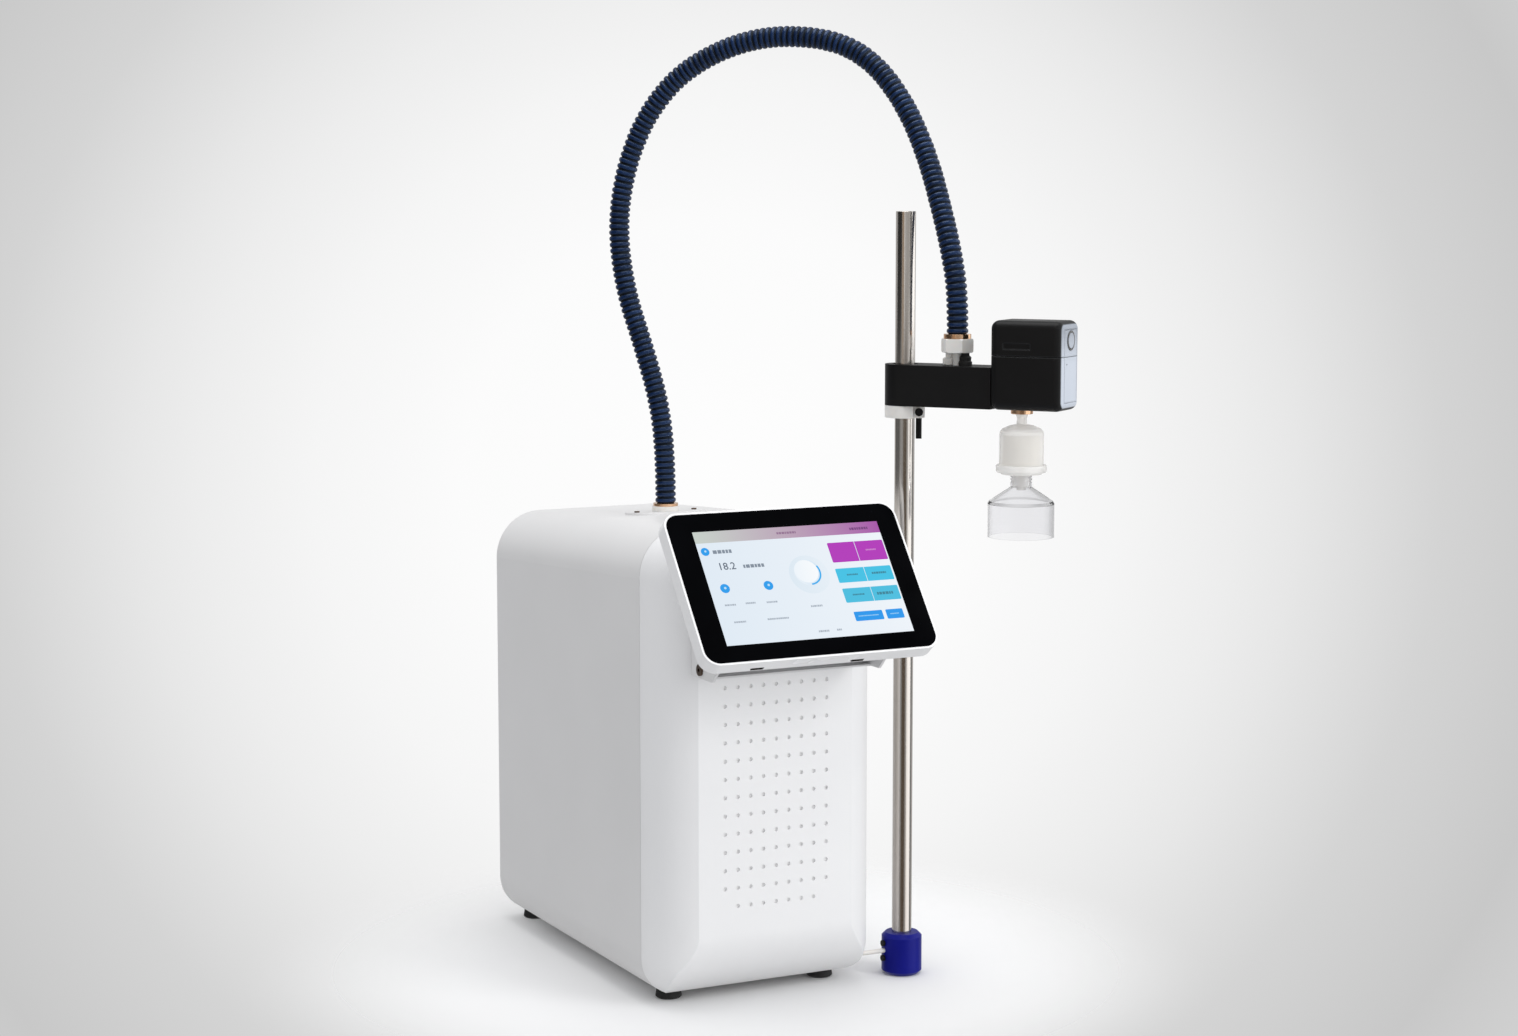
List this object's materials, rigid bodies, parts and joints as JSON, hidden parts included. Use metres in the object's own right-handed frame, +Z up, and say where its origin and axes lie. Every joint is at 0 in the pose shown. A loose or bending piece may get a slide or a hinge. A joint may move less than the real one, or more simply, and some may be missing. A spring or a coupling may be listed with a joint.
{
  "type": "ultrapure water system",
  "caption": "Bench water purifier cabinet with a tilting touch screen, vented front, ribbed hose and a dispensing head with filter and bell on a pole arm.",
  "frame": {"origin": "centre of the pole foot's underside, on the pole's axis, at bench level", "axes": "+X to the right seen from the front, +Y to the back, +Z up"},
  "size_m": [0.4513, 0.6154, 1.0551],
  "materials": {
    "white_cover": "satin",
    "white_rim": "satin",
    "grey_plastic": "matt",
    "filter_foam": "open foam",
    "grey_sheet": "satin",
    "black_plastic": "fine matt",
    "black_gloss": "gloss",
    "black_rubber": "matt",
    "steel": "brushed",
    "cartridge_white": "satin",
    "blue_plastic": "satin",
    "white_nylon": "satin",
    "circuit_green": "satin",
    "aluminium_case": "satin",
    "dark_screw": "oiled",
    "brass": "polished",
    "display": "lit screen",
    "black_glass": "gloss",
    "blue_base": "satin",
    "silver_plate": "satin",
    "capsule_clear": "translucent",
    "capsule_core": "pleated membrane",
    "clear_bell": "clear",
    "hose_navy": "gloss ribbed"
  },
  "bodies": {
    "cabinet": {"front_cover": "white_cover", "wrap_cover": "white_cover", "joining_lip": "grey_plastic", "filter_mat": "filter_foam", "rear_panel": "grey_sheet", "water_ports": "grey_plastic", "power_inlet": "black_plastic", "fan_frame": "black_plastic", "rubber_feet": "black_rubber", "foot_screws": "steel", "chassis_tray": "grey_sheet", "bulkhead": "grey_sheet", "resin_cartridges": "cartridge_white", "cartridge_heads": "blue_plastic", "uv_chamber": "steel", "uv_caps": "white_nylon", "pump_motor": "grey_sheet", "pump_head": "black_plastic", "solenoid_valve": "black_plastic", "conductivity_cell": "white_nylon", "control_board": "circuit_green", "power_supply": "aluminium_case", "top_plate": "white_cover", "cover_screws": "dark_screw", "hose_collar": "white_nylon", "base_ferrule": "brass", "screen_mount": "white_cover", "pivot_screws": "dark_screw", "pole": "steel", "pole_foot": "blue_base", "foot_set_screws": "black_plastic", "link_rod": "white_nylon", "hose_rise": "hose_navy"},
    "rocker": {"power_rocker": "black_gloss"},
    "fan": {"fan_rotor": "black_plastic"},
    "screen": {"hinge_bracket": "grey_sheet", "screen_housing": "white_rim", "display_panel": "display", "screen_glass": "black_glass"},
    "collar": {"clamp_collar": "white_nylon", "hose_fall": "hose_navy"},
    "lever": {"clamp_lever": "black_plastic"},
    "arm": {"arm_shell": "black_plastic", "arm_bush": "white_nylon", "gland_fittings": "white_nylon", "cable_grommet": "black_rubber", "gland_nut": "white_nylon", "arm_ferrule": "brass", "head_lower": "black_plastic", "head_upper": "black_plastic", "head_front_plates": "silver_plate", "button_ring": "black_gloss", "button_spring": "steel", "dispense_valve": "grey_sheet", "outlet_ring": "brass"},
    "button": {"dispense_button": "silver_plate"},
    "filter": {"capsule_shell": "capsule_clear", "capsule_core": "capsule_core", "capsule_base": "capsule_clear", "bell": "clear_bell"}
  },
  "joints": [
    {"name": "screen_tilt", "type": "hinge", "parent": "cabinet", "child": "screen", "pos_m": [-0.181, -0.066, 0.376], "axis": [1, 0, 0], "range_deg": [0, 25]},
    {"name": "arm_height", "type": "slide", "parent": "cabinet", "child": "collar", "axis": [0, 0, 1], "range_m": [-0.2, 0.12], "deforming": ["hose_rise"]},
    {"name": "arm_swivel", "type": "hinge", "parent": "collar", "child": "arm", "pos_m": [0, 0, 0.639], "axis": [0, 0, 1], "range_deg": [-30, 140], "deforming": ["hose_fall"]},
    {"name": "clamp_turn", "type": "hinge", "parent": "collar", "child": "lever", "pos_m": [0.01348, -0.00766, 0.632], "axis": [0.4939, 0.8695, 0], "range_deg": [-90, 0]},
    {"name": "dispense_press", "type": "slide", "parent": "arm", "child": "button", "axis": [-0.5878, 0.809, 0], "range_m": [0, 0.0025], "stiffness_N_per_m": 400, "springref_m": -0.002, "deforming": ["button_spring"]},
    {"name": "filter_turn", "type": "hinge", "parent": "arm", "child": "filter", "pos_m": [0.08111, -0.11164, 0.634], "axis": [0, 0, 1], "range_deg": [0, 90]},
    {"name": "fan_spin", "type": "hinge", "parent": "cabinet", "child": "fan", "pos_m": [-0.223, 0.41, 0.35], "axis": [0, 1, 0], "continuous": true},
    {"name": "power_switch", "type": "hinge", "parent": "cabinet", "child": "rocker", "pos_m": [-0.131, 0.4285, 0.123], "axis": [1, 0, 0], "range_deg": [0, 14]}
  ]
}
